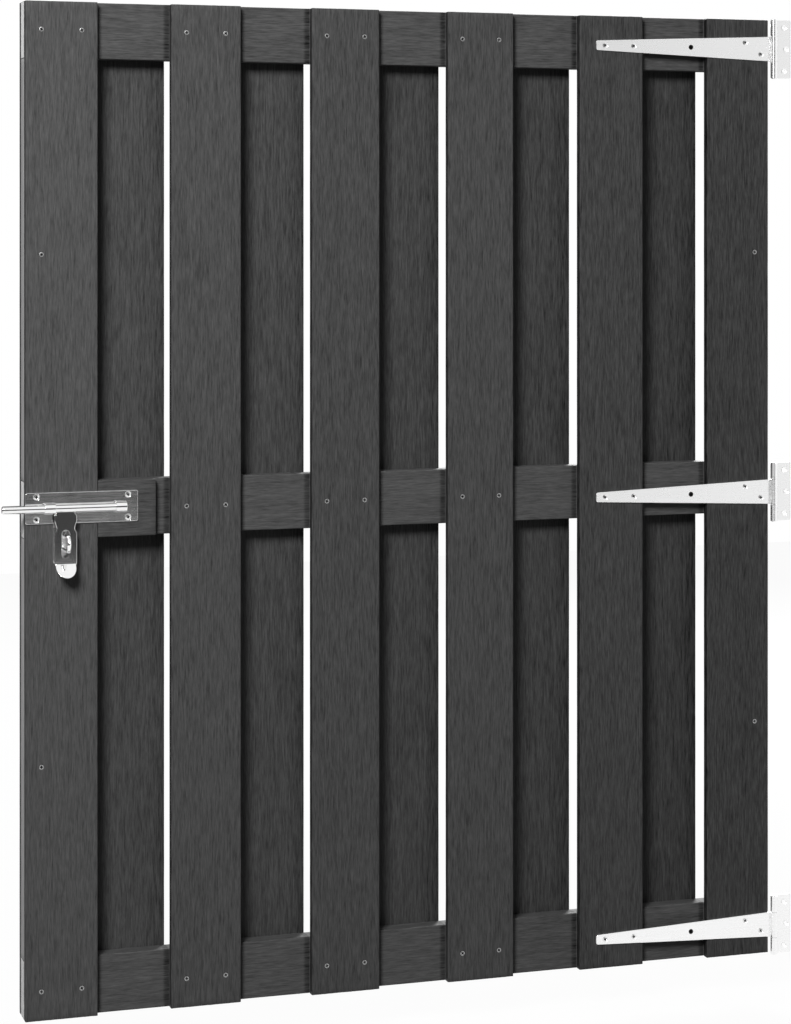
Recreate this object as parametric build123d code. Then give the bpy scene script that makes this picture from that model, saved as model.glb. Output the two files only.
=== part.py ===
from build123d import *
import math
import os

# A garden gate: a leaf of slats and rails, hung on three T-hinges and shut by a sliding padlock bolt.
#
# Millimetres. X runs to the right as seen from the front, Y from front to rear, Z up.
# The origin is on the back face of the middle post plate, at its centre hole.

# Leaf. Heights and distances across are counted from its bottom left corner.
LEAF_WIDTH = 1000.0
LEAF_HEIGHT = 1250.0
SLAT_COUNT = 6
SLAT_WIDTH = 90.0
SLAT_THICK = 11.0
RAIL_THICK = 22.0
RAIL_SPANS = {"bottom": (0.0, 72.0), "middle": (590.0, 660.0), "top": (1180.0, LEAF_HEIGHT)}
STILE_WIDTH = 45.0
BOARD_ROUND = 1.5
LOCK_BLOCK_WIDTH = 73.0

# Room between parts that fit into each other. Cutters reach past the face that they cut.
FIT_ROOM = 0.05
OVERCUT = 1.0
PUNCH_LENGTH = 10.0

# Screws. A head lies flush with the face that it is driven into.
HEAD_HEIGHT = 1.6
HEAD_RIM = 0.2
RECESS_LENGTH = 3.7
RECESS_WIDTH = 0.9
RECESS_DEPTH = 1.3
WOOD_HEAD_RADIUS = 3.2
METAL_HEAD_RADIUS = 3.7
SHANK_RADIUS = 1.7
SCREW_LENGTH = 30.0
SCREW_TIP = 5.0
SLAT_SCREW_INSET = 20.0
STILE_SCREW_HEIGHTS = (311.0, 939.0)
EDGE_SCREW_INSET = 22.0
EDGE_SCREW_DROP = 22.0

# Pressed sheet metal has its front edges broken by a small chamfer.
SHEET = 2.0
EDGE_BREAK = 0.4

# T-hinges. The barrel stands in front of the leaf, just beyond its right edge.
HINGE_HEIGHTS = {"bottom": 38.0, "middle": 618.0, "top": 1211.0}
BARREL_RADIUS = 4.5
BORE_RADIUS = BARREL_RADIUS - SHEET
PIN_RADIUS = BORE_RADIUS - FIT_ROOM
PIN_HEAD_RADIUS = 3.4
PIN_HEAD_HEIGHT = 0.8
PIN_HEAD_ROUND = 0.5
AXIS_FROM_LEAF = 6.0
KNUCKLE_GAP = 0.5
SHEET_INTO_BARREL = 1.0
STRAP_LENGTH = 255.0
STRAP_ROOT_HEIGHT = 33.0
STRAP_TIP_HEIGHT = 12.5
STRAP_TIP_ROUND = 3.0
STRAP_SCREWS = ((12.4, 0.0), (53.0, 0.0), (214.0, 8.0), (237.0, -7.3))
STRAP_OPEN_HOLE = 135.0
STRAP_OPEN_RADIUS = 3.3
PLATE_WIDTH = 26.0
PLATE_HEIGHT = 78.0
PLATE_ROUND = 2.0
PLATE_HOLE_RADIUS = 2.4
PLATE_SINK_RADIUS = 4.1
PLATE_SINK_DEPTH = 1.4
PLATE_CENTRE_HOLE = 19.0
PLATE_OUTER_HOLES = 16.0
PLATE_HOLE_SPACING = 58.0

# Sliding bolt, on front slat 1 and the lock block.
BOLT_HEIGHT = 628.0
BASE_WIDTH = 140.0
BASE_HEIGHT = 38.5
BASE_ROUND = 2.5
BASE_SCREW_COLUMNS = (13.5, 127.5)
BASE_SCREW_RISE = 14.0
ROD_RADIUS = 5.0
ROD_FRONT = 9.0
ROD_SPAN = (-30.0, 123.0)
ROD_CHAMFER = 1.0
GUIDE_STARTS = (21.7, 110.0)
GUIDE_LENGTH = 14.0
GUIDE_BORE_RADIUS = ROD_RADIUS + 0.08
GUIDE_SHEET = 1.5
TONGUE_BOTTOM = 557.0
TONGUE_ROUND = 7.0
HASP_CENTRE = 47.7
HASP_WIDTH = 27.4
HASP_SHOULDER_DROP = 7.3
HASP_SHOULDER_INSET = 2.4
HASP_BEVEL = 1.0
HASP_FRONT = 3.5
WAIST_DEPTH = 3.2
WAIST_HEIGHTS = (-15.0, -24.5, -29.5)
TAB_TOP = -67.8
TAB_HALF_WIDTH = 12.3
TAB_LENGTH = 18.7
TAB_ANGLE = 40.0
BEND_RADIUS = 1.5
SLOT_WIDTH = 9.4
SLOT_LENGTH = 34.0
SLOT_CENTRE = -43.4
STAPLE_CENTRE = 49.6
STAPLE_DROP = 43.0
STAPLE_WIRE_RADIUS = 2.5
STAPLE_BOW_RADIUS = 8.5
STAPLE_LEG = 18.0

# Places worked out from the sizes above.
AXIS_X = -PLATE_CENTRE_HOLE
LEAF_X = AXIS_X - AXIS_FROM_LEAF - LEAF_WIDTH
LEAF_Z = -HINGE_HEIGHTS["middle"]
BARREL_Y = -BARREL_RADIUS
RAIL_Y = SLAT_THICK
REAR_Y = SLAT_THICK + RAIL_THICK
LEAF_THICK = REAR_Y + SLAT_THICK
SLAT_PITCH = (LEAF_WIDTH - SLAT_WIDTH) / (SLAT_COUNT - 1)
BOLT_Z = LEAF_Z + BOLT_HEIGHT


def block(x, y, z):
    """A block between two X, two Y and two Z values."""
    size = [high - low for low, high in (x, y, z)]
    middle = [(low + high) / 2 for low, high in (x, y, z)]
    return Pos(*middle) * Box(*size)


def board(x, y, z, along):
    """A board of the leaf with its long edges rounded. x and z are counted from the leaf's corner."""
    placed = block([LEAF_X + value for value in x], y, [LEAF_Z + value for value in z])
    return fillet(placed.edges().filter_by(along), BOARD_ROUND)


def turned(points):
    """A solid of revolution about Y, from (radius, y) points that start and end on the axis."""
    return revolve(make_face(Polyline(*points, close=True)), Axis.Y)


def cross_recess():
    """The cross-shaped recess of a screw's head, from the head's face inwards."""
    along = (-RECESS_LENGTH / 2, RECESS_LENGTH / 2)
    across = (-RECESS_WIDTH / 2, RECESS_WIDTH / 2)
    depth = (-OVERCUT, RECESS_DEPTH)
    return block(across, depth, along) + block(along, depth, across)


def screw_outline(head_radius, room=0.0):
    """A countersunk wood screw along +Y with its head's face at Y = 0. room widens it into its hole."""
    head = head_radius + room
    shank = SHANK_RADIUS + room
    return turned([
        (0, -room), (head, -room), (head, HEAD_RIM), (shank, HEAD_HEIGHT + room),
        (shank, SCREW_LENGTH - SCREW_TIP), (0, SCREW_LENGTH + room),
    ])


class Screw:
    """One screw: where its head's face lies, and which way it is driven."""

    models = {}

    def __init__(self, x, y, z, head_radius=WOOD_HEAD_RADIUS, from_rear=False):
        self.place = Pos(LEAF_X + x, y, LEAF_Z + z)
        if from_rear:
            self.place = self.place * Rot(0, 0, 180)
        self.head_radius = head_radius

    def model(self, kind):
        """The screw's solid, or the hole that it needs, modelled once for each head size."""
        key = (kind, self.head_radius)
        if key not in Screw.models:
            if kind == "solid":
                Screw.models[key] = screw_outline(self.head_radius) - cross_recess()
            else:
                Screw.models[key] = screw_outline(self.head_radius, FIT_ROOM)
        return self.place * Screw.models[key]


def crosses(one, other):
    """Whether the boxes around two shapes meet."""
    a = one.bounding_box()
    b = other.bounding_box()
    return (a.min.X < b.max.X and b.min.X < a.max.X and a.min.Y < b.max.Y and b.min.Y < a.max.Y
            and a.min.Z < b.max.Z and b.min.Z < a.max.Z)


def bored(body, screws):
    """The body with the holes of those screws that reach it."""
    holes = [screw.model("hole") for screw in screws]
    holes = [hole for hole in holes if crosses(body, hole)]
    return body - holes if holes else body


def rail_middles():
    return [(low + high) / 2 for low, high in RAIL_SPANS.values()]


def slat_start(index):
    return index * SLAT_PITCH


def rear_slat_start(index):
    """A rear slat is centred behind the gap between two front slats."""
    gap_middle = slat_start(index) + (SLAT_WIDTH + SLAT_PITCH) / 2
    return gap_middle - SLAT_WIDTH / 2


def slat_screws():
    """Two screws through each front slat into each rail, where no hinge strap or bolt plate lies."""
    screws = []
    for index in range(SLAT_COUNT - 2):
        for name, (low, high) in RAIL_SPANS.items():
            if index == 0 and name == "middle":
                continue
            for inset in (SLAT_SCREW_INSET, SLAT_WIDTH - SLAT_SCREW_INSET):
                screws.append(Screw(slat_start(index) + inset, 0, (low + high) / 2))
    return screws


def stile_screws():
    """One screw from the front through each outer slat into each stile."""
    sides = (SLAT_SCREW_INSET, LEAF_WIDTH - SLAT_SCREW_INSET)
    return [Screw(side, 0, height) for side in sides for height in STILE_SCREW_HEIGHTS]


def rear_slat_screws():
    """Two screws from behind through each rear slat into each rail."""
    screws = []
    for index in range(SLAT_COUNT - 1):
        for height in rail_middles():
            for inset in (SLAT_SCREW_INSET, SLAT_WIDTH - SLAT_SCREW_INSET):
                screws.append(Screw(rear_slat_start(index) + inset, LEAF_THICK, height, from_rear=True))
    return screws


def edge_board_screws():
    """Screws from behind through the rear edge boards into the rails and the stiles."""
    heights = [height - EDGE_SCREW_DROP for height in (*rail_middles(), *STILE_SCREW_HEIGHTS)]
    sides = (EDGE_SCREW_INSET, LEAF_WIDTH - EDGE_SCREW_INSET)
    return [Screw(side, LEAF_THICK, height, from_rear=True) for side in sides for height in heights]


def strap_screws(hinge):
    """The four screws of one hinge's strap, flush with the strap's front face."""
    tip = LEAF_WIDTH + AXIS_FROM_LEAF - STRAP_LENGTH
    return [
        Screw(tip + along, -SHEET, HINGE_HEIGHTS[hinge] + rise, METAL_HEAD_RADIUS)
        for along, rise in STRAP_SCREWS
    ]


def base_screws():
    """The four corner screws of the bolt's base plate."""
    return [
        Screw(x, -SHEET, BOLT_HEIGHT + rise, METAL_HEAD_RADIUS)
        for x in BASE_SCREW_COLUMNS
        for rise in (-BASE_SCREW_RISE, BASE_SCREW_RISE)
    ]


def broken_front(sheet, reach=math.inf):
    """A flat sheet with its outer front edges chamfered, as far to the right as reach."""
    outer = sheet.faces().sort_by(Axis.Y)[0].outer_wire().edges()
    return chamfer([edge for edge in outer if edge.center().X < reach], EDGE_BREAK)


def knuckle(low, high):
    """One rolled ring of the hinge's barrel, between two heights."""
    height = high - low
    ring = Cylinder(BARREL_RADIUS, height) - Cylinder(BORE_RADIUS, height)
    return Pos(AXIS_X, BARREL_Y, (low + high) / 2) * ring


def hinge_strap(hinge):
    """The long tapered leaf of a T-hinge with the middle knuckle and its open hole over the gap."""
    middle = LEAF_Z + HINGE_HEIGHTS[hinge]
    tip = AXIS_X - STRAP_LENGTH
    root = AXIS_X - SHEET_INTO_BARREL
    outline = make_face(Polyline(
        (tip, -STRAP_TIP_HEIGHT / 2), (root, -STRAP_ROOT_HEIGHT / 2),
        (root, STRAP_ROOT_HEIGHT / 2), (tip, STRAP_TIP_HEIGHT / 2), close=True,
    ))
    tip_corners = outline.vertices().group_by(Axis.X)[0]
    outline = fillet(tip_corners, STRAP_TIP_ROUND)
    leaf = Pos(0, 0, middle) * extrude(Plane.XZ * outline, SHEET)
    leaf = broken_front(leaf, reach=root - EDGE_BREAK)
    hole = Rot(90, 0, 0) * Cylinder(STRAP_OPEN_RADIUS, PUNCH_LENGTH)
    hole = Pos(tip + STRAP_OPEN_HOLE, 0, middle) * hole
    half = STRAP_ROOT_HEIGHT / 2
    return leaf + knuckle(middle - half, middle + half) - hole


def post_plate(hinge):
    """The upright leaf of a T-hinge with the outer knuckles and three countersunk holes."""
    middle = LEAF_Z + HINGE_HEIGHTS[hinge]
    inner = STRAP_ROOT_HEIGHT / 2 + KNUCKLE_GAP
    outer = PLATE_HEIGHT / 2
    across = (AXIS_X + SHEET_INTO_BARREL, AXIS_X + PLATE_WIDTH)
    sheet = block(across, (-SHEET, 0), (middle - outer, middle + outer))
    far_edges = sheet.edges().filter_by(Axis.Y).group_by(Axis.X)[-1]
    sheet = broken_front(fillet(far_edges, PLATE_ROUND))
    window_edge = AXIS_X + BARREL_RADIUS + KNUCKLE_GAP
    through = (-SHEET - OVERCUT, OVERCUT)
    window = block((AXIS_X, window_edge), through, (middle - inner, middle + inner))
    plate = sheet - window + knuckle(middle + inner, middle + outer)
    plate += knuckle(middle - outer, middle - inner)
    sink = turned([
        (0, through[0]), (PLATE_SINK_RADIUS, through[0]), (PLATE_SINK_RADIUS, -SHEET),
        (PLATE_HOLE_RADIUS, -SHEET + PLATE_SINK_DEPTH), (PLATE_HOLE_RADIUS, through[1]), (0, through[1]),
    ])
    half = PLATE_HOLE_SPACING / 2
    places = ((PLATE_CENTRE_HOLE, 0), (PLATE_OUTER_HOLES, half), (PLATE_OUTER_HOLES, -half))
    return plate - [Pos(AXIS_X + along, 0, middle + rise) * sink for along, rise in places]


def hinge_pin(hinge):
    """The pin of a hinge with a peened head at each end."""
    middle = LEAF_Z + HINGE_HEIGHTS[hinge]
    head = Cylinder(PIN_HEAD_RADIUS, PIN_HEAD_HEIGHT)
    head = fillet(head.edges().group_by(Axis.Z)[-1], PIN_HEAD_ROUND)
    head = Pos(0, 0, (PLATE_HEIGHT + PIN_HEAD_HEIGHT) / 2) * head
    pin = Cylinder(PIN_RADIUS, PLATE_HEIGHT) + head + Rot(180, 0, 0) * head
    return Pos(AXIS_X, BARREL_Y, middle) * pin


def guide(start):
    """A saddle over the rod. Its two legs pass through slots in the base plate."""
    outer = GUIDE_BORE_RADIUS + GUIDE_SHEET
    along = (LEAF_X + start, LEAF_X + start + GUIDE_LENGTH)

    def arch(radius):
        round_part = Rot(0, 90, 0) * Cylinder(radius, GUIDE_LENGTH)
        round_part = Pos(sum(along) / 2, -ROD_FRONT, BOLT_Z) * round_part
        return round_part + block(along, (-ROD_FRONT, 0), (BOLT_Z - radius, BOLT_Z + radius))

    saddle = arch(outer)
    ends = saddle.faces().filter_by(Axis.X)
    saddle = chamfer(ends.edges(), EDGE_BREAK)
    return saddle - arch(GUIDE_BORE_RADIUS)


def guide_slots():
    """The slots in the base plate for the legs of both guides."""
    inner = GUIDE_BORE_RADIUS - FIT_ROOM
    outer = GUIDE_BORE_RADIUS + GUIDE_SHEET + FIT_ROOM
    slots = []
    for start in GUIDE_STARTS:
        along = (LEAF_X + start - FIT_ROOM, LEAF_X + start + GUIDE_LENGTH + FIT_ROOM)
        for side in (-1, 1):
            across = sorted((BOLT_Z + side * inner, BOLT_Z + side * outer))
            slots.append(block(along, (-SHEET - OVERCUT, OVERCUT), across))
    return slots


def bolt_base():
    """The base plate of the bolt, with the tongue below it that carries the staple."""
    thickness = (-SHEET, 0)
    height = (BOLT_Z - BASE_HEIGHT / 2, BOLT_Z + BASE_HEIGHT / 2)
    plate = block((LEAF_X, LEAF_X + BASE_WIDTH), thickness, height)
    plate = fillet(plate.edges().filter_by(Axis.Y), BASE_ROUND)
    tongue_left = LEAF_X + HASP_CENTRE - HASP_WIDTH / 2
    tongue = block((tongue_left, tongue_left + HASP_WIDTH), thickness, (LEAF_Z + TONGUE_BOTTOM, BOLT_Z))
    tongue = fillet(tongue.edges().filter_by(Axis.Y).group_by(Axis.Z)[0], TONGUE_ROUND)
    leg = Rot(90, 0, 0) * Cylinder(STAPLE_WIRE_RADIUS + FIT_ROOM, PUNCH_LENGTH)
    legs = [
        Pos(LEAF_X + STAPLE_CENTRE, 0, BOLT_Z - STAPLE_DROP + side * STAPLE_BOW_RADIUS) * leg
        for side in (-1, 1)
    ]
    return broken_front(plate + tongue) - guide_slots() - legs


def bolt_rod():
    """The round rod that slides in the guides."""
    low, high = ROD_SPAN
    rod = Rot(0, 90, 0) * Cylinder(ROD_RADIUS, high - low)
    rod = chamfer(rod.edges().filter_by(GeomType.CIRCLE), ROD_CHAMFER)
    return Pos(LEAF_X + (low + high) / 2, -ROD_FRONT, BOLT_Z) * rod


def hasp_side():
    """The hasp's section from the side, about the rod's axis: a flat sheet with a tab bent outwards.

    The tab is left long, and the outline from the front rounds its end.
    """
    front = -HASP_FRONT
    back = front + SHEET
    lean = math.radians(TAB_ANGLE)
    reach = TAB_LENGTH + 2 * SHEET
    tip = (front - reach * math.sin(lean), TAB_TOP - reach * math.cos(lean))
    tip_back = (tip[0] + SHEET * math.cos(lean), tip[1] - SHEET * math.sin(lean))
    bend_back = (back, TAB_TOP - SHEET * math.tan(lean / 2))
    outline = Polyline((front, 0), (front, TAB_TOP), tip, tip_back, bend_back, (back, 0), close=True)
    return make_face(Plane.YZ * outline)


def hasp_front():
    """The hasp's outline from the front, about its own middle and the rod's axis."""
    half = HASP_WIDTH / 2
    neck = half - HASP_SHOULDER_INSET
    waist_top, waist_middle, waist_bottom = WAIST_HEIGHTS
    right = [
        (neck, 0), (neck, -HASP_SHOULDER_DROP + HASP_BEVEL), (half, -HASP_SHOULDER_DROP - HASP_BEVEL),
        (half, waist_top), (half - WAIST_DEPTH, waist_middle), (half, waist_bottom),
        (half, TAB_TOP), (TAB_HALF_WIDTH, TAB_TOP - HASP_BEVEL),
    ]
    left = [(-x, z) for x, z in reversed(right)]
    lean = math.radians(TAB_ANGLE)
    lowest = (0, TAB_TOP - TAB_LENGTH * math.cos(lean) - SHEET * math.sin(lean))
    outline = Polyline(*right) + ThreePointArc(right[-1], lowest, left[0]) + Polyline(*left)
    outline += Line(left[-1], right[0])
    return make_face(outline)


def hasp():
    """The slotted flap that hangs from under the rod, over the staple."""
    width = HASP_WIDTH + 2 * OVERCUT
    sheet = Pos(-width / 2, 0, 0) * extrude(hasp_side(), width)
    bend = sheet.edges().filter_by(Axis.X).sort_by_distance((0, -HASP_FRONT, TAB_TOP))
    sheet = fillet(bend[0], BEND_RADIUS)
    bend = sheet.edges().filter_by(Axis.X).sort_by_distance((0, SHEET - HASP_FRONT, TAB_TOP - SHEET))
    sheet = fillet(bend[0], BEND_RADIUS + SHEET)
    outline = Pos(0, ROD_FRONT, 0) * extrude(Plane.XZ * hasp_front(), 4 * ROD_FRONT)
    flap = sheet & outline
    slot = extrude(Plane.XZ * SlotOverall(SLOT_LENGTH, SLOT_WIDTH, rotation=90), 2 * ROD_FRONT)
    flap -= Pos(0, ROD_FRONT, SLOT_CENTRE) * slot
    flap -= Rot(0, 90, 0) * Cylinder(ROD_RADIUS + FIT_ROOM, width)
    return Pos(LEAF_X + HASP_CENTRE, -ROD_FRONT, BOLT_Z) * flap


def staple():
    """The round wire loop that takes the padlock, its legs riveted through the tongue."""
    bow = STAPLE_BOW_RADIUS
    path = Line((0, 0, bow), (0, -STAPLE_LEG, bow))
    path += ThreePointArc((0, -STAPLE_LEG, bow), (0, -STAPLE_LEG - bow, 0), (0, -STAPLE_LEG, -bow))
    path += Line((0, -STAPLE_LEG, -bow), (0, 0, -bow))
    section = Plane(origin=(0, 0, bow), z_dir=(0, -1, 0)) * Circle(STAPLE_WIRE_RADIUS)
    loop = sweep(section, path=path)
    return Pos(LEAF_X + STAPLE_CENTRE, 0, BOLT_Z - STAPLE_DROP) * loop


def front_boards():
    """The front slats and the lock block, as name and board."""
    front = (0, SLAT_THICK)
    for index in range(SLAT_COUNT):
        start = slat_start(index)
        yield f"front_slat_{index + 1}", board((start, start + SLAT_WIDTH), front, (0, LEAF_HEIGHT), Axis.Z)
    lock_span = (SLAT_WIDTH, SLAT_WIDTH + LOCK_BLOCK_WIDTH)
    yield "lock_block", board(lock_span, front, RAIL_SPANS["middle"], Axis.X)


def middle_boards():
    """The rails and the stiles between them, as name and board."""
    middle = (RAIL_Y, REAR_Y)
    for name, span in RAIL_SPANS.items():
        yield f"{name}_rail", board((0, LEAF_WIDTH), middle, span, Axis.X)
    gaps = {
        "lower": (RAIL_SPANS["bottom"][1], RAIL_SPANS["middle"][0]),
        "upper": (RAIL_SPANS["middle"][1], RAIL_SPANS["top"][0]),
    }
    sides = {"left": (0, STILE_WIDTH), "right": (LEAF_WIDTH - STILE_WIDTH, LEAF_WIDTH)}
    for side, across in sides.items():
        for level, height in gaps.items():
            yield f"{side}_stile_{level}", board(across, middle, height, Axis.Z)


def rear_boards():
    """The rear slats and the two half-width edge boards, as name and board."""
    rear = (REAR_Y, LEAF_THICK)
    for index in range(SLAT_COUNT - 1):
        start = rear_slat_start(index)
        yield f"rear_slat_{index + 1}", board((start, start + SLAT_WIDTH), rear, (0, LEAF_HEIGHT), Axis.Z)
    sides = {"left": (0, STILE_WIDTH), "right": (LEAF_WIDTH - STILE_WIDTH, LEAF_WIDTH)}
    for side, across in sides.items():
        yield f"rear_edge_board_{side}", board(across, rear, (0, LEAF_HEIGHT), Axis.Z)


def all_screws():
    """Every group of screws, by node name."""
    groups = {
        "slat_screws": slat_screws(),
        "stile_screws": stile_screws(),
        "rear_slat_screws": rear_slat_screws(),
        "edge_board_screws": edge_board_screws(),
        "bolt_screws": base_screws(),
    }
    for hinge in HINGE_HEIGHTS:
        groups[f"strap_screws_{hinge}"] = strap_screws(hinge)
    return groups


def all_parts():
    """Every node of the gate, by name."""
    groups = all_screws()
    every_screw = [screw for screws in groups.values() for screw in screws]
    parts = {}
    for boards in (front_boards(), middle_boards(), rear_boards()):
        for name, shape in boards:
            parts[name] = bored(shape, every_screw)
    for hinge in HINGE_HEIGHTS:
        parts[f"hinge_strap_{hinge}"] = bored(hinge_strap(hinge), every_screw)
        parts[f"post_plate_{hinge}"] = post_plate(hinge)
        parts[f"hinge_pin_{hinge}"] = hinge_pin(hinge)
    parts["bolt_base_plate"] = bored(bolt_base(), every_screw)
    for side, start in zip(("left", "right"), GUIDE_STARTS):
        parts[f"bolt_guide_{side}"] = guide(start)
    parts["bolt_rod"] = bolt_rod()
    parts["bolt_hasp"] = hasp()
    parts["bolt_staple"] = staple()
    for name, screws in groups.items():
        parts[name] = Compound(children=[screw.model("solid") for screw in screws])
    return parts


os.makedirs("parts", exist_ok=True)
for node, shape in all_parts().items():
    export_step(shape, f"parts/{node}.step")
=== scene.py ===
import itertools
import math

import bpy
import numpy as np
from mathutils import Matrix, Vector


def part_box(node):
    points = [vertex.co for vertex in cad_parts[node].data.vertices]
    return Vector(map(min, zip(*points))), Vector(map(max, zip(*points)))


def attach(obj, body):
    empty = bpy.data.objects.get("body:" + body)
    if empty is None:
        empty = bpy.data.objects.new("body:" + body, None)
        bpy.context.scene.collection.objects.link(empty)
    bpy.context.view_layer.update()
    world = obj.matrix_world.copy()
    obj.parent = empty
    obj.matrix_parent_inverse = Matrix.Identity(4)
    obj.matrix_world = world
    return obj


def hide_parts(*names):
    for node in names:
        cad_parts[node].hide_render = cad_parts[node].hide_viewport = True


# The looks of the garden gate: dark stained boards with brushed grain, bright zinc hinges and a
# polished bolt. Metres, in the frame of the CAD model.

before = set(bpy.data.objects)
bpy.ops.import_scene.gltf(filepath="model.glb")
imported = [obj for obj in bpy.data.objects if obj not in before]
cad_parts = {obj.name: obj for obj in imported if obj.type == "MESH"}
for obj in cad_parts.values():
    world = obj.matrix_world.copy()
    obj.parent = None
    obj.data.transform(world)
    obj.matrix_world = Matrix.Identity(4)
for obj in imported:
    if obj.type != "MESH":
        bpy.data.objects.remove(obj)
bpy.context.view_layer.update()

# Axes of a place or a direction.
X_AXIS, Z_AXIS = 0, 2

# Boards. The first two are the rounding of a board's long edges and of its ends.
BOARD_ROUND = 0.0015
END_ROUND = 0.0006
FIBRE_RELIEF = 0.0003
EDGE_WEAR = 0.0004

# The grid of a board's surface. Some of its lines are fractions of a rounding or of a corner of painted
# shade.
ACROSS_STEP = 0.0012
ALONG_STEP = 0.007
THICK_STEP = 0.0018
ROUNDING_LINES = np.array((0, 0.3, 0.6, 1))
ROUNDING_CLEAR = 1.3
CORNER_LINES = np.array((-0.05, 0, 0.35, 0.6, 0.8, 1))

# Points that face this far along an axis belong to the flat of a board's face.
FLAT_FACE = 0.9

# Noise cells to a metre, across and along the fibres: of the fibres in relief, and of the stain.
FINE_FIBRES = (430.0, 34.0)
BROAD_FIBRES = (170.0, 11.0)
STAIN_FIBRES = (640.0, 52.0)
STAIN_STREAKS = (310.0, 24.0)
STAIN_BLOTCHES = (45.0, 14.0)

# Noise cells to a metre, the same all ways.
FINE_WEAR = (260.0, 260.0, 260.0)
BROAD_WEAR = (40.0, 40.0, 40.0)
SCUFFS = (120.0, 120.0, 120.0)
ZINC_CLOUDS = (45.0, 45.0, 45.0)
ZINC_GRAINS = (420.0, 420.0, 420.0)
SCREW_GRAINS = (500.0, 500.0, 500.0)

# Painted shade, which darkens the stain beside front slats and on slat edges: where it lies, and how
# much.
CORNER_WIDTH = 0.0085
CORNER_PAINTED_SHADE = 2.2
SHADED_WIDTH = 0.024
STRIP_PAINTED_SHADE = 0.4
SIDE_DEPTH = 0.0008
SIDE_PAINTED_SHADE = 0.75

# Shades of the wood. The bare ones are those of cut ends and outer sides.
WOOD_SHADE = 0.064
REAR_SHADE = 0.058
RAIL_BARE = 0.95
STILE_BARE = 0.42

# Seeds of the first board, the first wood screws and the first metal screws. Each board has ten.
BOARD_SEED = 100
SEEDS_PER_BOARD = 10
WOOD_SCREW_SEED = 500
METAL_SCREW_SEED = 600

# Metal edges: how far they are cut back, from what angle on, and how round they look beyond that.
EDGE_SOFT = 0.0003
EDGE_ANGLE = math.radians(40)
ROUND_LOOK = 0.0007

# How much darker or lighter each board is than its kind, from left to right.
FRONT_TONES = (0.14, 0.01, -0.07, -0.02, -0.18, -0.25)
REAR_TONES = (-0.03, -0.08, -0.1, -0.16, -0.24)
RAIL_TONES = {"top_rail": 0.11, "middle_rail": 0.22, "bottom_rail": 0.19}

# Screws. Each head is slightly domed, and its rim lies a little below the face around it.
WOOD_HEAD = 0.0029
METAL_HEAD = 0.0034
HEAD_DOME = 0.00035
HEAD_RIM = 0.0003
SHANK_RADIUS = 0.0016
SCREW_LENGTH = 0.0295
SCREW_POINT = 0.005
RECESS_WIDTH = 0.001
RECESS_LENGTH = 0.0038
RECESS_DEPTH = 0.0013
RECESS_EDGE = 0.00025
RECESS_MIDDLE = 0.0011
# How much painted shade darkens a screw's cross recess.
RECESS_PAINTED_SHADE = 0.93
HEAD_RINGS = 18
HEAD_SIDES = 64
SHARP_ANGLE = math.radians(35)
FRONT_SCREWS = ("slat_screws", "stile_screws")
REAR_SCREWS = ("rear_slat_screws", "edge_board_screws")
METAL_SCREWS = ("bolt_screws", "strap_screws_bottom", "strap_screws_middle", "strap_screws_top")

# The wood's hole around a screw.
PIT_RADIUS = 0.0033
PIT_START = 0.0007
PIT_SLOPE = 0.95
PIT_DEPTH = 0.0018
PIT_STEP = 0.0005
PIT_REACH = 0.0045

# Points of one screw, and the boards of one face, are no further apart than these.
SAME_SCREW = 0.009
SAME_FACE = 0.001

# Camera and light, counted from the leaf's bottom left front corner.
CAMERA_PLACE = (-0.526, -3.1275, 0.9735)
CAMERA_TURN = 17.75
CAMERA_LENS = 90.3
CAMERA_SHIFT = -0.279
KEY_PLACE = (-1.35, -2.6, 2.65)
KEY_AIM = (0.35, 0.0, 1.0)
KEY_SIZE = 1.25
KEY_POWER = 158.0
REAR_PLACE = (2.3, 2.9, 2.1)
REAR_AIM = (0.6, 0.0, 0.7)
REAR_SIZE = 1.5
REAR_POWER = 190.0

# Studio.
ROOM_LIGHT = 0.035
ROOM_DARK = 0.95
BEHIND_DARK = 0.85
FLOOR_SIZE = 9.0
FLOOR_MIDDLE = 0.5
FLOOR_DROP = 0.06
FLOOR_SHADE = 0.03
FLOOR_GLOW = 0.955


def noise(points, cells, seed):
    """Smooth noise from -1 to 1 at each point, with cells to a metre along X, Y and Z."""
    scaled = points * np.array(cells)
    cell = np.floor(scaled).astype(np.int64)
    part = scaled - cell
    part = part * part * (3 - 2 * part)
    total = np.zeros(len(points))
    for corner in itertools.product((0, 1), repeat=3):
        # A random value for each whole corner, from a hash of its place and the seed.
        spot = (cell + corner).astype(np.uint64)
        key = spot[:, 0] * np.uint64(73856093)
        key ^= spot[:, 1] * np.uint64(19349663)
        key ^= spot[:, 2] * np.uint64(83492791)
        key += np.uint64(seed * 2654435761)
        key = (key ^ (key >> np.uint64(15))) * np.uint64(2246822519)
        key = (key ^ (key >> np.uint64(13))) * np.uint64(3266489917)
        value = (key >> np.uint64(20)) % np.uint64(65536)
        weight = np.prod(np.where(corner, part, 1 - part), axis=1)
        total += weight * (value / 32767.5 - 1)
    return total


def grid_lines(length, step, rounding, spots=(), corners=()):
    """Where the grid lines of one side lie.

    They are in even steps, and closer in its roundings, near screws and in corners of painted shade.
    """
    lines = np.linspace(0, length, max(2, round(length / step)) + 1)
    for corner in corners:
        lines = np.append(lines, corner - CORNER_WIDTH * CORNER_LINES)
    for spot in spots:
        lines = lines[abs(lines - spot) > PIT_REACH]
        lines = np.append(lines, spot + np.arange(-PIT_REACH, PIT_REACH + PIT_STEP / 2, PIT_STEP))
    clear = rounding * ROUNDING_CLEAR
    lines = lines[(lines > clear) & (lines < length - clear)]
    curve = rounding * ROUNDING_LINES
    return np.unique(np.concatenate((lines, curve, length - curve)))


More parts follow.
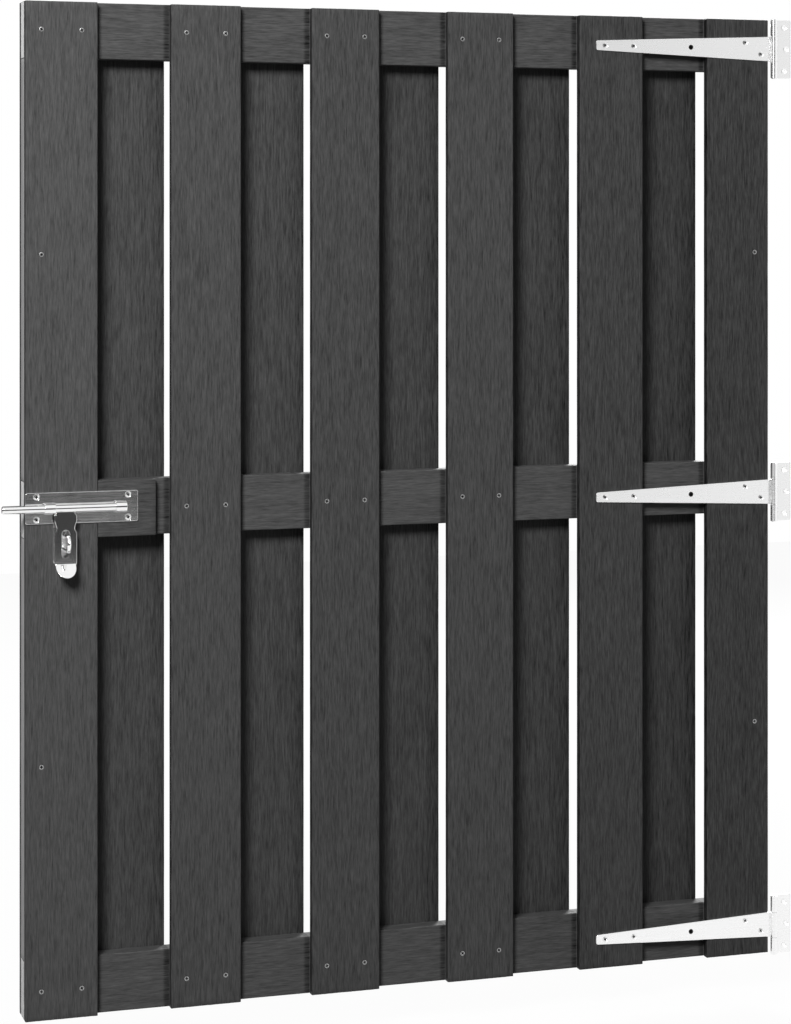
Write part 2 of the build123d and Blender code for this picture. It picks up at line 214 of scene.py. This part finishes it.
def box_surface(lines):
    """The points and quads of a box's surface, from the grid lines along its three axes."""
    shell = np.ones([len(line) for line in lines], bool)
    shell[1:-1, 1:-1, 1:-1] = False
    number = np.cumsum(shell).reshape(shell.shape) - 1
    places = np.argwhere(shell)
    points = np.stack([lines[axis][places[:, axis]] for axis in range(3)], axis=1)
    quads = []
    for axis in range(3):
        for end in (0, -1):
            sheet = number.take(end, axis)
            corners = [sheet[:-1, :-1], sheet[1:, :-1], sheet[1:, 1:], sheet[:-1, 1:]]
            if (end == 0) != (axis == 1):
                corners.reverse()
            quads.append(np.stack(corners, axis=-1).reshape(-1, 4))
    return points, np.concatenate(quads)


def screw_places(nodes):
    """The axis of each screw in those CAD nodes, as X and Z."""
    places = []
    for node in nodes:
        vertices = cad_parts[node].data.vertices
        left = np.empty(len(vertices) * 3)
        vertices.foreach_get("co", left)
        left = left.reshape(-1, 3)[:, (0, 2)]
        while len(left):
            near = np.linalg.norm(left - left[0], axis=1) < SAME_SCREW
            places.append((left[near].min(axis=0) + left[near].max(axis=0)) / 2)
            left = left[~near]
    return places


def face_screws(low, high):
    """The screws in a board's outer face, where that face lies, and which way is into the wood."""
    if low[1] < leaf_front + SAME_FACE:
        screws, face_y, inwards = front_screws, low[1], 1
    elif high[1] > leaf_back - SAME_FACE:
        screws, face_y, inwards = rear_screws, high[1], -1
    else:
        return [], 0, 0
    places = [(x, z) for x, z in screws if low[0] < x < high[0] and low[2] < z < high[2]]
    return places, face_y, inwards


def sink_screws(points, on_face, face_y, inwards, places):
    """Moves the points of one face into a round countersunk hole at each screw."""
    for place in places:
        offset = points[:, (0, 2)] - place
        distance = np.linalg.norm(offset, axis=1)
        rim = on_face & (abs(distance - PIT_RADIUS) < PIT_STEP / 2)
        moved = place + offset[rim] / distance[rim, None] * PIT_RADIUS
        points[rim, 0] = moved[:, 0]
        points[rim, 2] = moved[:, 1]
        inside = on_face & (distance <= PIT_RADIUS - PIT_STEP / 2)
        depth = np.minimum(PIT_START + (PIT_RADIUS - distance[inside]) * PIT_SLOPE, PIT_DEPTH)
        points[inside, 1] = face_y + inwards * depth


def long_cells(across, length, along):
    """How many noise cells a metre has along X, Y and Z, when the fibres run along one axis."""
    cells = [across] * 3
    cells[along] = length
    return cells


def fibres(points, along, seed):
    """Brushed grain from -1 to 1: short raised fibres on broader wavy ones."""
    fine, broad = (long_cells(*cells, along) for cells in (FINE_FIBRES, BROAD_FIBRES))
    return 0.6 * noise(points, fine, seed) + 0.4 * noise(points, broad, seed + 1)


def board_tone(node):
    """The tone of one board against its kind."""
    kind, _, last = node.rpartition("_")
    tones = {"front_slat": FRONT_TONES, "rear_slat": REAR_TONES}.get(kind)
    return tones[int(last) - 1] if tones else RAIL_TONES.get(node, 0.0)


def painted_shade(points, node):
    """How much painted shade darkens the stain at each point.

    It is painted shade: on a rail beside the front slats, at a rear slat's right edge and on a front
    slat's left side.
    """
    stain = np.zeros(len(points))
    if node.endswith("_rail"):
        # Painted shadow on a rail, just left of each front slat.
        for slat in front_slats:
            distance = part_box(slat)[0][0] - points[:, 0]
            stain = np.maximum(stain, np.where(distance > 0, 1 - distance / CORNER_WIDTH, 0))
        return np.clip(stain * CORNER_PAINTED_SHADE, 0, 1)
    if node.startswith("rear_slat"):
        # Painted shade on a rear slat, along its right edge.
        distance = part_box(node)[1][0] - points[:, 0]
        return np.clip(1 - distance / SHADED_WIDTH, 0, 1) * STRIP_PAINTED_SHADE
    if node.startswith("front_slat"):
        # Painted shade on a front slat's left side.
        return np.where(points[:, 0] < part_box(node)[0][0] + SIDE_DEPTH, SIDE_PAINTED_SHADE, 0)
    return stain


def quad_mesh(name, points, quads):
    """A smooth mesh of those quads."""
    mesh = bpy.data.meshes.new(name)
    mesh.vertices.add(len(points))
    mesh.vertices.foreach_set("co", points.ravel())
    mesh.loops.add(quads.size)
    mesh.loops.foreach_set("vertex_index", quads.ravel().astype(np.int32))
    mesh.polygons.add(len(quads))
    mesh.polygons.foreach_set("loop_start", np.arange(0, quads.size, 4, dtype=np.int32))
    mesh.polygons.foreach_set("use_smooth", np.ones(len(quads), bool))
    mesh.update(calc_edges=True)
    return mesh


def add_attribute(mesh, name, values):
    """Gives each point of a mesh a value that its material reads."""
    attribute = mesh.attributes.new(name, "FLOAT", "POINT")
    attribute.data.foreach_set("value", np.asarray(values, np.float32))


def board_grid(node, low, size, along, rounding, places):
    """The grid lines of a board along its three axes, from its low corner."""
    steps = [ACROSS_STEP, THICK_STEP, ACROSS_STEP]
    steps[along] = ALONG_STEP
    spots = [{round(x - low[0], 5) for x, z in places}, (), {round(z - low[2], 5) for x, z in places}]
    corners = [(), (), ()]
    if node.endswith("_rail"):
        corners[X_AXIS] = [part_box(slat)[0][0] - low[0] for slat in front_slats[1:]]
    return [
        grid_lines(size[axis], steps[axis], rounding[axis], sorted(spots[axis]), corners[axis])
        for axis in range(3)
    ]


def plank(node, seed, material, tone):
    """Replaces a CAD board with one that has rounded, worn edges and grain in relief."""
    low, high = (np.array(corner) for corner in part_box(node))
    size = high - low
    along = int(np.argmax(size))
    places, face_y, inwards = face_screws(low, high)
    rounding = np.full(3, BOARD_ROUND)
    rounding[along] = END_ROUND
    flat, quads = box_surface(board_grid(node, low, size, along, rounding, places))

    core = np.clip(flat, rounding, size - rounding)
    lean = (flat - core) / rounding
    outward = lean / np.linalg.norm(lean, axis=1)[:, None]
    points = low + core + outward * rounding
    edge = 1 - np.max(abs(outward), axis=1)
    edge = edge / edge.max()

    raised = fibres(points, along, seed)
    wear = noise(points, FINE_WEAR, seed + 3) + noise(points, BROAD_WEAR, seed + 4)
    wear = np.clip(wear, 0, 1)
    sunk = FIBRE_RELIEF * (1 - raised) / 2 + EDGE_WEAR * wear * edge
    points -= outward * sunk[:, None]

    on_face = outward[:, 1] * inwards < -FLAT_FACE
    sink_screws(points, on_face, face_y, inwards, places)

    mesh = quad_mesh(node, points, quads)
    mesh.materials.append(material)
    add_attribute(mesh, "raised", raised)
    add_attribute(mesh, "corner", painted_shade(points, node))
    add_attribute(mesh, "edge", edge)
    add_attribute(mesh, "end", np.clip(abs(outward[:, along]) * 2 - 1, 0, 1))
    outer = 1 if low[0] > leaf_middle else -1
    add_attribute(mesh, "side", np.clip(outward[:, 0] * outer * 2 - 1, 0, 1))
    add_attribute(mesh, "tone", np.full(len(points), tone))
    piece = bpy.data.objects.new(f"{node}_wood", mesh)
    bpy.context.scene.collection.objects.link(piece)
    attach(piece, "leaf")
    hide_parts(node)


def fill(tree, socket, value):
    """Links a socket to another node's output, or sets it."""
    if isinstance(value, bpy.types.NodeSocket):
        tree.links.new(value, socket)
    else:
        socket.default_value = value


def add_node(tree, kind, inputs, output=0, **settings):
    """A shader node with its inputs set or linked. Returns one of its outputs."""
    made = tree.nodes.new("ShaderNode" + kind)
    for name, value in settings.items():
        setattr(made, name, value)
    for socket, value in inputs.items():
        fill(tree, made.inputs[socket], value)
    return made.outputs[output]


class Finish:
    """A material under construction."""

    def __init__(self, name):
        self.material = bpy.data.materials.new(name)
        self.material.use_nodes = True
        self.tree = self.material.node_tree
        self.shader = self.tree.nodes["Principled BSDF"]

    def add(self, kind, inputs, output=0, **settings):
        return add_node(self.tree, kind, inputs, output, **settings)

    def math(self, operation, *values):
        return self.add("Math", dict(enumerate(values)), operation=operation)

    def attribute(self, name):
        return self.add("Attribute", {}, "Fac", attribute_name=name)

    def noise(self, cells, detail=3.0, roughness=0.55):
        """Noise about 0, from -0.5 to 0.5, with cells to a metre along X, Y and Z."""
        place = self.add("TexCoord", {}, "Object")
        scaled = self.add("VectorMath", {0: place, 1: cells}, operation="MULTIPLY")
        field = {"Vector": scaled, "Scale": 1.0, "Detail": detail, "Roughness": roughness}
        return self.math("SUBTRACT", self.add("TexNoise", field), 0.5)

    def total(self, start, *terms):
        """start plus each weight times its value."""
        for weight, value in terms:
            start = self.math("MULTIPLY_ADD", value, weight, start)
        return start

    def clamp(self, value, low=0.0, high=1.0):
        return self.add("Clamp", {"Value": value, "Min": low, "Max": high})

    def set(self, **inputs):
        """Sets or links the shader's own inputs."""
        for name, value in inputs.items():
            fill(self.tree, self.shader.inputs[name.replace("_", " ")], value)

    def bump(self, height, strength, distance, rounding=0.0):
        """Relief on the surface, whose edges look rounded by a radius."""
        inputs = {"Height": height, "Strength": strength, "Distance": distance}
        if rounding:
            inputs["Normal"] = self.add("Bevel", {"Radius": rounding}, samples=6)
        self.set(Normal=self.add("Bump", inputs))


def stained_wood(name, along, shade, bare=None):
    """Dark stained board with brushed grain. bare is the shade of its outer sides and cut ends."""
    finish = Finish(name)
    fibre = finish.noise(long_cells(*STAIN_FIBRES, along), 4.0, 0.7)
    streak = finish.noise(long_cells(*STAIN_STREAKS, along), 3.0, 0.6)
    blotch = finish.noise(long_cells(*STAIN_BLOTCHES, along), 4.0, 0.6)
    raised = finish.attribute("raised")
    edge = finish.attribute("edge")
    scuff = finish.noise(SCUFFS, 4.0, 0.7)
    light = finish.total(1.0, (2.3, fibre), (1.1, streak), (0.3, blotch), (0.1, raised))
    # The corner attribute darkens the stain with painted shade.
    light = finish.total(light, (1.0, finish.attribute("tone")), (-0.7, finish.attribute("corner")))
    # Lighter rounded edges, partly wear and partly a painted highlight.
    worn_and_highlit = finish.math("MULTIPLY", edge, finish.clamp(finish.total(0.5, (1.6, scuff))))
    light = finish.total(light, (0.5, worn_and_highlit))
    colour = finish.math("MULTIPLY", light, shade)
    if bare:
        cut = finish.math("MAXIMUM", finish.attribute("end"), finish.attribute("side"))
        raw = finish.math("MULTIPLY", finish.total(1.0, (0.5, fibre), (0.4, streak)), bare)
        colour = finish.add("Mix", {"Factor": cut, "A": colour, "B": raw})
    finish.set(
        Base_Color=colour,
        Roughness=finish.clamp(finish.total(0.62, (0.5, streak), (-0.06, raised)), 0.4, 0.85),
        Specular_IOR_Level=0.12,
    )
    finish.bump(finish.total(0.5, (0.8, fibre), (0.4, streak)), 0.6, 0.0003)
    return finish.material


def zinc(name, brushed, shade, roughness, wear, relief, rounding=0.0):
    """Zinc-plated steel. brushed is how many cells to a metre its fine lines have along X, Y and Z."""
    finish = Finish(name)
    lines = finish.noise(brushed, 3.0, 0.6)
    cloud = finish.noise(ZINC_CLOUDS, 4.0, 0.6)
    grains = finish.noise(ZINC_GRAINS, 2.0, 0.5)
    # Painted shade darkens a screw's cross recess.
    painted_recess_shade = finish.attribute("recess")
    light = finish.total(1.0, (wear, cloud), (2 * wear, lines), (-RECESS_PAINTED_SHADE, painted_recess_shade))
    colour = finish.math("MULTIPLY", light, shade)
    rough = finish.total(roughness, (0.3 * roughness, cloud), (0.35 * roughness, lines))
    finish.set(Metallic=1.0, Base_Color=colour, Roughness=finish.clamp(rough, 0.05, 0.7))
    finish.bump(finish.total(0.5, (0.6, lines), (0.4, grains)), relief, 0.0001, rounding)
    return finish.material


def screw_rings(head_radius, turn):
    """A screw's surface as rings of points about its axis, +Y into the wood, the head's middle first.

    Beside its place, each point has how far it lies in the recess.
    """
    angle = np.arange(HEAD_SIDES) * 2 * math.pi / HEAD_SIDES
    radii = np.linspace(0, head_radius, HEAD_RINGS + 1)[1:]
    rings = []
    for radius in radii:
        across = abs(radius * np.cos(angle + turn))
        along = abs(radius * np.sin(angle + turn))
        arms = [
            np.clip((RECESS_WIDTH / 2 - narrow) / RECESS_EDGE + 0.5, 0, 1)
            * np.clip((RECESS_LENGTH / 2 - wide) / RECESS_EDGE + 0.5, 0, 1)
            for narrow, wide in ((across, along), (along, across))
        ]
        arms.append(np.full(HEAD_SIDES, np.clip((RECESS_MIDDLE - radius) / RECESS_EDGE + 0.5, 0, 1)))
        recess = np.max(arms, axis=0)
        depth = HEAD_DOME * (radius / head_radius) ** 2 + RECESS_DEPTH * recess
        rings.append((radius, depth, recess))
    cone = HEAD_DOME + HEAD_RIM + (head_radius - SHANK_RADIUS) * PIT_SLOPE
    plain = np.zeros(HEAD_SIDES)
    rings.append((head_radius, plain + HEAD_DOME + HEAD_RIM, plain))
    rings.append((SHANK_RADIUS, plain + cone, plain))
    rings.append((SHANK_RADIUS, plain + SCREW_LENGTH - SCREW_POINT, plain))
    return [
        np.stack((radius * np.cos(angle), depth, radius * np.sin(angle), recess), axis=1)
        for radius, depth, recess in rings
    ]


def screw_faces(first, count):
    """The faces of one screw, from the number of its first point and its count of rings."""
    top = first + 1
    last = top + (count - 1) * HEAD_SIDES
    faces = []
    for side in range(HEAD_SIDES):
        beside = (side + 1) % HEAD_SIDES
        faces.append((first, top + side, top + beside))
        faces.append((last + HEAD_SIDES, last + beside, last + side))
        for near in range(top, last, HEAD_SIDES):
            far = near + HEAD_SIDES
            faces.append((near + side, far + side, far + beside, near + beside))
    return faces


def detailed_screws(node, head_radius, seed, material):
    """Replaces a CAD node of screws with ones that have domed heads and cross recesses."""
    low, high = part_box(node)
    from_rear = node in REAR_SCREWS
    face = high[1] if from_rear else low[1]
    chance = np.random.default_rng(seed)
    points, faces, recess = [], [], []
    for place in screw_places([node]):
        rings = screw_rings(head_radius, chance.uniform(0, math.pi))
        screw = np.concatenate([[(0, RECESS_DEPTH, 0, 1)], *rings, [(0, SCREW_LENGTH, 0, 0)]])
        if from_rear:
            screw[:, :2] *= -1
        faces.extend(screw_faces(len(points), len(rings)))
        points.extend(screw[:, :3] + (place[0], face, place[1]))
        recess.extend(screw[:, 3])
    mesh = bpy.data.meshes.new(node)
    mesh.from_pydata(points, [], faces)
    mesh.shade_smooth()
    mesh.set_sharp_from_angle(angle=SHARP_ANGLE)
    add_attribute(mesh, "recess", recess)
    mesh.materials.append(material)
    piece = bpy.data.objects.new(f"{node}_detailed", mesh)
    bpy.context.scene.collection.objects.link(piece)
    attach(piece, "leaf")
    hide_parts(node)


def paint(node, material):
    """Gives a CAD node its material."""
    mesh_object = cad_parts[node]
    mesh_object.data.materials.clear()
    mesh_object.data.materials.append(material)


def soften(node):
    """Rounds the sharp edges of a CAD node a little, so that they catch the light."""
    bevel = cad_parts[node].modifiers.new("edges", "BEVEL")
    bevel.width = EDGE_SOFT
    bevel.segments = 2
    bevel.limit_method = "ANGLE"
    bevel.angle_limit = EDGE_ANGLE


# The leaf.
front_screws = screw_places(FRONT_SCREWS)
rear_screws = screw_places(REAR_SCREWS)
leaf_corner = Vector(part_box("front_slat_1")[0])
leaf_front = leaf_corner.y
leaf_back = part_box("rear_slat_1")[1][1]
leaf_middle = sum(corner[0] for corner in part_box("top_rail")) / 2

# Boards.
front_wood = stained_wood("front board stain", Z_AXIS, WOOD_SHADE)
block_wood = stained_wood("lock block stain", X_AXIS, WOOD_SHADE)
rail_wood = stained_wood("rail stain", X_AXIS, WOOD_SHADE, RAIL_BARE)
stile_wood = stained_wood("stile stain", Z_AXIS, WOOD_SHADE, STILE_BARE)
rear_wood = stained_wood("rear board stain", Z_AXIS, REAR_SHADE)
front_slats = [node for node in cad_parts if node.startswith("front_slat_")]
rear_boards = [
    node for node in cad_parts
    if node.startswith(("rear_slat_", "rear_edge_")) and node not in REAR_SCREWS
]
rails = [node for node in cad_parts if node.endswith("_rail")]
stiles = [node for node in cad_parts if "_stile_" in node]
groups = (
    (front_slats, "front_boards", front_wood),
    (["lock_block"], "front_boards", block_wood),
    (rails, "rails", rail_wood),
    (stiles, "rails", stile_wood),
    (rear_boards, "rear_boards", rear_wood),
)
board_seed = BOARD_SEED
for nodes, board_slot, wood in groups:
    for board_node in sorted(nodes):
        plank(board_node, board_seed, wood, board_tone(board_node))
        board_seed += SEEDS_PER_BOARD

# Metal.
hinge_zinc = zinc(
    "hinge zinc", (9.0, 9.0, 600.0),
    shade=0.93, roughness=0.28, wear=0.06, relief=0.02,
)
plate_zinc = zinc(
    "bolt plate zinc", (22.0, 22.0, 520.0),
    shade=0.74, roughness=0.14, wear=0.32, relief=0.1, rounding=ROUND_LOOK,
)
bolt_zinc = zinc(
    "bolt zinc", (40.0, 40.0, 900.0),
    shade=0.9, roughness=0.05, wear=0.05, relief=0.04, rounding=ROUND_LOOK,
)
wood_screw_zinc = zinc(
    "wood screw zinc", SCREW_GRAINS,
    shade=0.34, roughness=0.4, wear=0.3, relief=0.12,
)
metal_screw_zinc = zinc(
    "metal screw zinc", SCREW_GRAINS,
    shade=0.8, roughness=0.25, wear=0.2, relief=0.12,
)
for metal_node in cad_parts:
    if metal_node.startswith(("hinge_", "post_plate_")):
        paint(metal_node, hinge_zinc)
    elif metal_node == "bolt_base_plate":
        paint(metal_node, plate_zinc)
        soften(metal_node)
    elif metal_node.startswith("bolt_") and metal_node not in METAL_SCREWS:
        paint(metal_node, bolt_zinc)
        soften(metal_node)
for number, screw_node in enumerate(FRONT_SCREWS + REAR_SCREWS):
    detailed_screws(screw_node, WOOD_HEAD, WOOD_SCREW_SEED + number, wood_screw_zinc)
for number, screw_node in enumerate(METAL_SCREWS):
    detailed_screws(screw_node, METAL_HEAD, METAL_SCREW_SEED + number, metal_screw_zinc)

# Studio.
scene = bpy.context.scene
scene.view_settings.view_transform = "Standard"


def plane(name, size, place, material):
    """A level square about a place."""
    corners = np.array([(-1, -1, 0), (1, -1, 0), (1, 1, 0), (-1, 1, 0)]) * size / 2
    made = bpy.data.objects.new(name, quad_mesh(name, corners, np.array([(0, 1, 2, 3)])))
    made.data.materials.append(material)
    made.location = place
    scene.collection.objects.link(made)
    return made


pale = Finish("studio floor")
pale.set(
    Base_Color=(FLOOR_SHADE, FLOOR_SHADE, FLOOR_SHADE, 1),
    Roughness=0.9,
    Specular_IOR_Level=0.0,
    Emission_Color=(1, 1, 1, 1),
    Emission_Strength=FLOOR_GLOW,
)
floor_place = (leaf_corner.x + FLOOR_MIDDLE, 0, leaf_corner.z - FLOOR_DROP)
floor = plane("floor", FLOOR_SIZE, floor_place, pale.material)
floor.visible_diffuse = False

# The room is white to the eye. In reflections it is dark in an area behind the camera and to its left,
# and a little less dark all over behind the gate. It adds only a little light of its own, so that the
# lamps make the shadows.
world = bpy.data.worlds.new("studio")
world.use_nodes = True
world.cycles.sampling_method = "NONE"
scene.world = world
room = world.node_tree
room.nodes.clear()


def room_node(kind, inputs, output=0, **settings):
    return add_node(room, kind, inputs, output, **settings)


def room_math(operation, *values):
    return room_node("Math", dict(enumerate(values)), operation=operation)


def room_fade(value, start, end):
    """0 at start and on its far side, 1 at end and on its far side, and smooth between the two."""
    ends = {"Value": value, "From Min": start, "From Max": end}
    return room_node("MapRange", ends, interpolation_type="SMOOTHSTEP")


direction = room_node("TexCoord", {}, "Generated")
to_right = room_node("SeparateXYZ", {"Vector": direction}, "X")
steepness = room_math("ABSOLUTE", room_node("SeparateXYZ", {"Vector": direction}, "Z"))
to_rear = room_node("SeparateXYZ", {"Vector": direction}, "Y")
dark = room_math("MULTIPLY", room_fade(to_right, 0.36, 0.29), room_fade(steepness, 0.42, 0.26))
dark = room_math("MULTIPLY", dark, room_fade(to_rear, 0.2, -0.1))
behind = room_math("MULTIPLY", room_fade(to_rear, 0.2, 0.5), BEHIND_DARK)
dark = room_math("MAXIMUM", dark, behind)
mirrored = room_math("MULTIPLY_ADD", dark, -ROOM_DARK, 1.0)
by_eye = room_node("LightPath", {}, "Is Camera Ray")
by_gloss = room_node("LightPath", {}, "Is Glossy Ray")
seen = room_math("MAXIMUM", mirrored, by_eye)
direct = room_math("MAXIMUM", by_eye, by_gloss)
level = room_node("Mix", {"Factor": direct, "A": ROOM_LIGHT, "B": seen})
background = room_node("Background", {"Color": (1, 1, 1, 1), "Strength": level})
room.links.new(background, room.nodes.new("ShaderNodeOutputWorld").inputs["Surface"])


def area_lamp(name, place, aim, size, power):
    """A round lamp. Its place and its aim are counted from the leaf's corner."""
    lamp = bpy.data.lights.new(name, "AREA")
    lamp.shape = "DISK"
    lamp.size = size
    lamp.energy = power
    made = bpy.data.objects.new(name, lamp)
    made.location = leaf_corner + Vector(place)
    made.rotation_euler = (Vector(aim) - Vector(place)).to_track_quat("-Z", "Y").to_euler()
    scene.collection.objects.link(made)


area_lamp("key", KEY_PLACE, KEY_AIM, KEY_SIZE, KEY_POWER)
area_lamp("rear", REAR_PLACE, REAR_AIM, REAR_SIZE, REAR_POWER)

# Camera.
view = bpy.data.cameras.new("camera")
view.lens = CAMERA_LENS
view.shift_y = CAMERA_SHIFT
camera = bpy.data.objects.new("camera", view)
camera.location = leaf_corner + Vector(CAMERA_PLACE)
camera.rotation_euler = (math.radians(90), 0, math.radians(-CAMERA_TURN))
scene.collection.objects.link(camera)
scene.camera = camera
